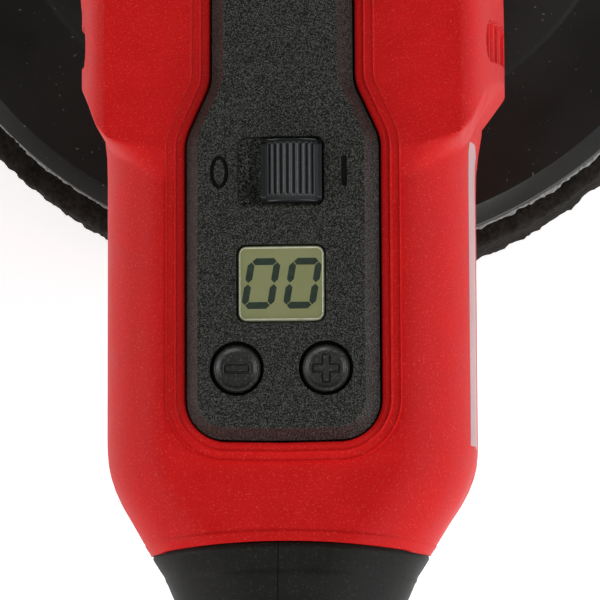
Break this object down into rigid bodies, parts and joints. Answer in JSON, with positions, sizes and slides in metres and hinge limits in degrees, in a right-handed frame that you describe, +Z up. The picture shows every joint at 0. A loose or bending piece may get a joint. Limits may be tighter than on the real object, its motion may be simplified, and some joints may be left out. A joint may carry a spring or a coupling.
{
  "type": "power polisher",
  "caption": "Hand-held rotary polishing and waxing machine with a foam disc, a digital control panel, a soft rear grip, a front bow handle and a clip-on battery.",
  "frame": {"origin": "centre of the foam pad's working face, on the spindle's axis", "axes": "+Z up along the spindle, +Y from the rear grip towards the front handle, +X to the operator's right"},
  "size_m": [0.189, 0.4239, 0.1753],
  "materials": {
    "foam": "open-cell foam",
    "fleece": "matt",
    "plate_rubber": "satin",
    "steel": "turned",
    "bronze": "plain",
    "black_casting": "satin",
    "copper_core": "varnished",
    "can_steel": "zinc plated",
    "ferrite": "sintered",
    "white_plastic": "moulded",
    "carbon": "sintered",
    "red_plastic": "fine spark texture",
    "grip_rubber": "soft touch",
    "label": "film",
    "panel_plastic": "coarse grain",
    "knob_plastic": "satin",
    "button_plastic": "satin",
    "black_plastic": "moulded",
    "clear_window": "polished",
    "lcd_green": "reflective film",
    "circuit_board": "solder mask",
    "aluminium": "extruded",
    "wire_red": "PVC",
    "battery_plastic": "fine texture",
    "red_button": "satin",
    "cell_sleeve": "shrink sleeve",
    "zinc_screw": "black zinc"
  },
  "bodies": {
    "machine": {"spindle_bearing": "steel", "spindle_top_bush": "bronze", "bearing_cover": "black_casting", "gear_housing": "black_casting", "spindle_lock_spring": "steel", "pinion_bearing": "steel", "fan_baffle": "black_plastic", "motor_can": "can_steel", "motor_magnets": "ferrite", "motor_end_bell": "white_plastic", "carbon_brushes": "carbon", "housing_left": "red_plastic", "housing_right": "red_plastic", "battery_mount": "battery_plastic", "grip_left": "grip_rubber", "grip_right": "grip_rubber", "rating_label": "label", "housing_screws": "zinc_screw", "control_panel": "panel_plastic", "power_switch": "black_plastic", "lcd_window": "clear_window", "lcd_module": "lcd_green", "control_board": "circuit_board", "control_board_screws": "zinc_screw", "button_switches": "black_plastic", "speed_controller": "aluminium", "motor_wires": "wire_red", "battery_wires": "wire_red", "terminal_block": "black_plastic", "front_handle_frame": "black_casting", "front_handle_grip": "grip_rubber", "front_handle_washers": "grip_rubber", "front_handle_bolts": "zinc_screw", "bearing_cover_screws": "zinc_screw", "gear_housing_screws": "zinc_screw"},
    "disc": {"foam_pad": "foam", "hook_and_loop_layer": "fleece", "backing_plate": "plate_rubber", "plate_insert": "steel", "spindle": "steel", "bevel_gear": "steel"},
    "motor_core": {"armature": "copper_core", "cooling_fan": "black_plastic", "pinion": "steel"},
    "lock_button": {"spindle_lock_button": "red_button"},
    "power_slider": {"switch_knob": "knob_plastic"},
    "minus": {"minus_button": "button_plastic"},
    "plus": {"plus_button": "button_plastic"},
    "battery": {"battery_case_front": "battery_plastic", "battery_case_rear": "battery_plastic", "charge_gauge": "black_plastic", "battery_cells": "cell_sleeve", "battery_board": "circuit_board", "battery_latch_spring": "steel"},
    "battery_release": {"battery_latch": "red_button"},
    "gauge_push": {"gauge_button": "button_plastic"}
  },
  "joints": [
    {"name": "disc_spin", "type": "hinge", "parent": "machine", "child": "disc", "pos_m": [0, 0, 0], "axis": [0, 0, 1], "continuous": true},
    {"name": "motor_spin", "type": "hinge", "parent": "machine", "child": "motor_core", "pos_m": [0, 0, 0.095], "axis": [0, 1, 0], "continuous": true},
    {"name": "spindle_lock", "type": "slide", "parent": "machine", "child": "lock_button", "axis": [0, 0, -1], "range_m": [0, 0.0045], "stiffness_N_per_m": 700, "springref_m": -0.003, "deforming": ["spindle_lock_spring"]},
    {"name": "power_slide", "type": "slide", "parent": "machine", "child": "power_slider", "axis": [1, 0, 0], "range_m": [-0.0038, 0]},
    {"name": "minus_press", "type": "slide", "parent": "machine", "child": "minus", "axis": [0, 0, -1], "range_m": [0, 0.0008], "stiffness_N_per_m": 900, "springref_m": -0.001},
    {"name": "plus_press", "type": "slide", "parent": "machine", "child": "plus", "axis": [0, 0, -1], "range_m": [0, 0.0008], "stiffness_N_per_m": 900, "springref_m": -0.001},
    {"name": "battery_slide", "type": "slide", "parent": "machine", "child": "battery", "axis": [0, 0, 1], "range_m": [0, 0.095]},
    {"name": "battery_release_press", "type": "slide", "parent": "battery", "child": "battery_release", "axis": [0, -1, 0], "range_m": [0, 0.0025], "stiffness_N_per_m": 900, "springref_m": -0.002},
    {"name": "gauge_press", "type": "slide", "parent": "battery", "child": "gauge_push", "axis": [0, 1, 0], "range_m": [0, 0.0004], "stiffness_N_per_m": 900, "springref_m": -0.001}
  ],
  "couplings": [
    {"joint": "motor_spin", "follows": "disc_spin", "ratio": -4.1111}
  ]
}
